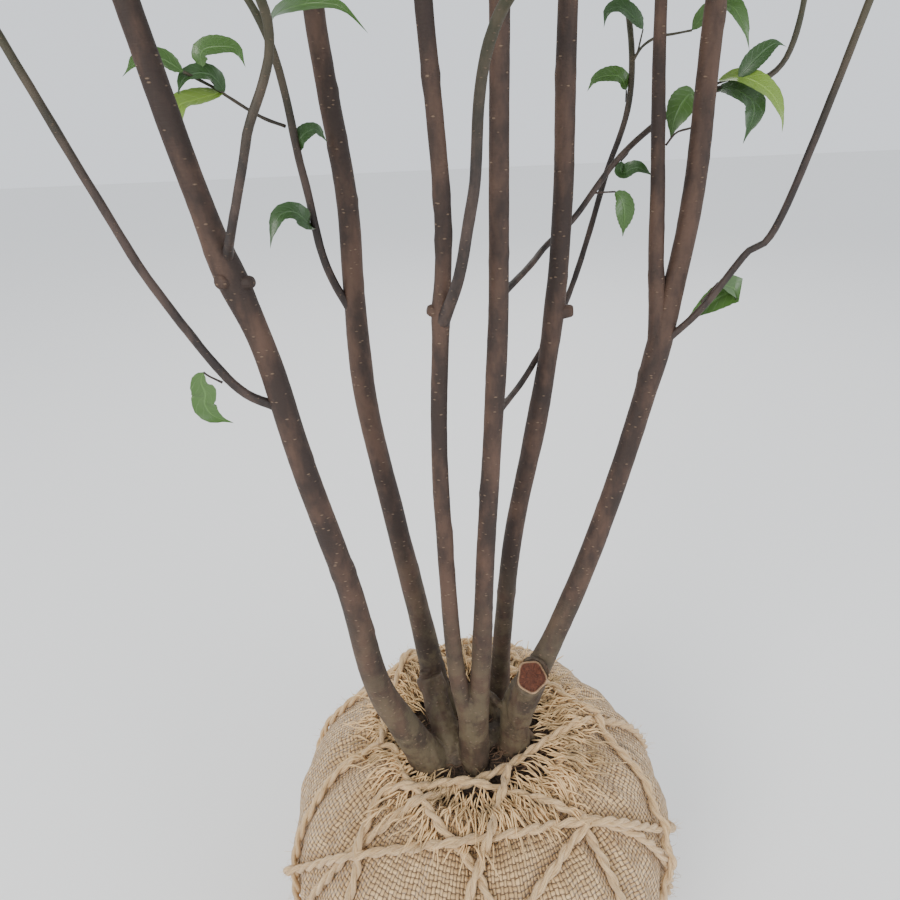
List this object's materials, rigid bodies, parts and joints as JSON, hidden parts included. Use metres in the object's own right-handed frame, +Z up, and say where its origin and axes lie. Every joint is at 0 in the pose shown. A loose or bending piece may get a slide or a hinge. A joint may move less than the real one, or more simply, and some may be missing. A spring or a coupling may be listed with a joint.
{
  "type": "multi-stem broadleaf tree",
  "caption": "Multi-stem broadleaf evergreen tree on its burlap-wrapped, rope-lashed root ball; slender stems rise from a shared root crown into an open, leafy crown.",
  "frame": {"origin": "middle of the root ball's flat underside", "axes": "+Z up along the stems; -Y is the front, with the sawn limb of the root crown; +X is to the right seen from the front"},
  "size_m": [0.996, 1.0079, 2.1343],
  "materials": {
    "bark": "matte",
    "young_bark": "matte",
    "foliage": "satin",
    "burlap": "matte",
    "rope": "matte"
  },
  "bodies": {
    "root": {"bough_high_7": "young_bark", "bough_low_1": "young_bark", "bough_low_2": "young_bark", "bough_low_3": "young_bark", "bough_low_4": "young_bark", "bough_low_5": "young_bark", "bough_low_6": "young_bark", "bough_low_7": "young_bark", "bough_low_8": "young_bark", "bough_mid_1": "young_bark", "bough_mid_2": "young_bark", "bough_mid_3": "young_bark", "bough_mid_4": "young_bark", "bough_mid_5": "young_bark", "bough_mid_6": "young_bark", "bough_mid_7": "young_bark", "bough_mid_8": "young_bark", "foliage_high_1": "foliage", "foliage_high_2": "foliage", "foliage_high_3": "foliage", "foliage_high_4": "foliage", "foliage_high_5": "foliage", "foliage_high_6": "foliage", "foliage_high_7": "foliage", "foliage_low_1": "foliage", "foliage_low_2": "foliage", "foliage_low_3": "foliage", "foliage_low_4": "foliage", "foliage_low_5": "foliage", "foliage_low_6": "foliage", "foliage_low_7": "foliage", "foliage_low_8": "foliage", "foliage_mid_1": "foliage", "foliage_mid_2": "foliage", "foliage_mid_3": "foliage", "foliage_mid_4": "foliage", "foliage_mid_5": "foliage", "foliage_mid_6": "foliage", "foliage_mid_7": "foliage", "foliage_mid_8": "foliage", "foliage_top": "foliage", "lashing": "rope", "leaf_spray_1": "foliage", "leaf_spray_2": "foliage", "leaf_spray_3": "foliage", "leaf_spray_4": "foliage", "leaf_spray_5": "foliage", "leaf_spray_6": "foliage", "root_ball": "burlap", "root_crown": "bark", "stem_far_left": "bark", "stem_left": "bark", "stem_mid_left": "bark", "stem_mid_right": "bark", "stem_middle": "bark", "stem_right": "bark", "stem_right_fork": "bark"}
  },
  "joints": []
}
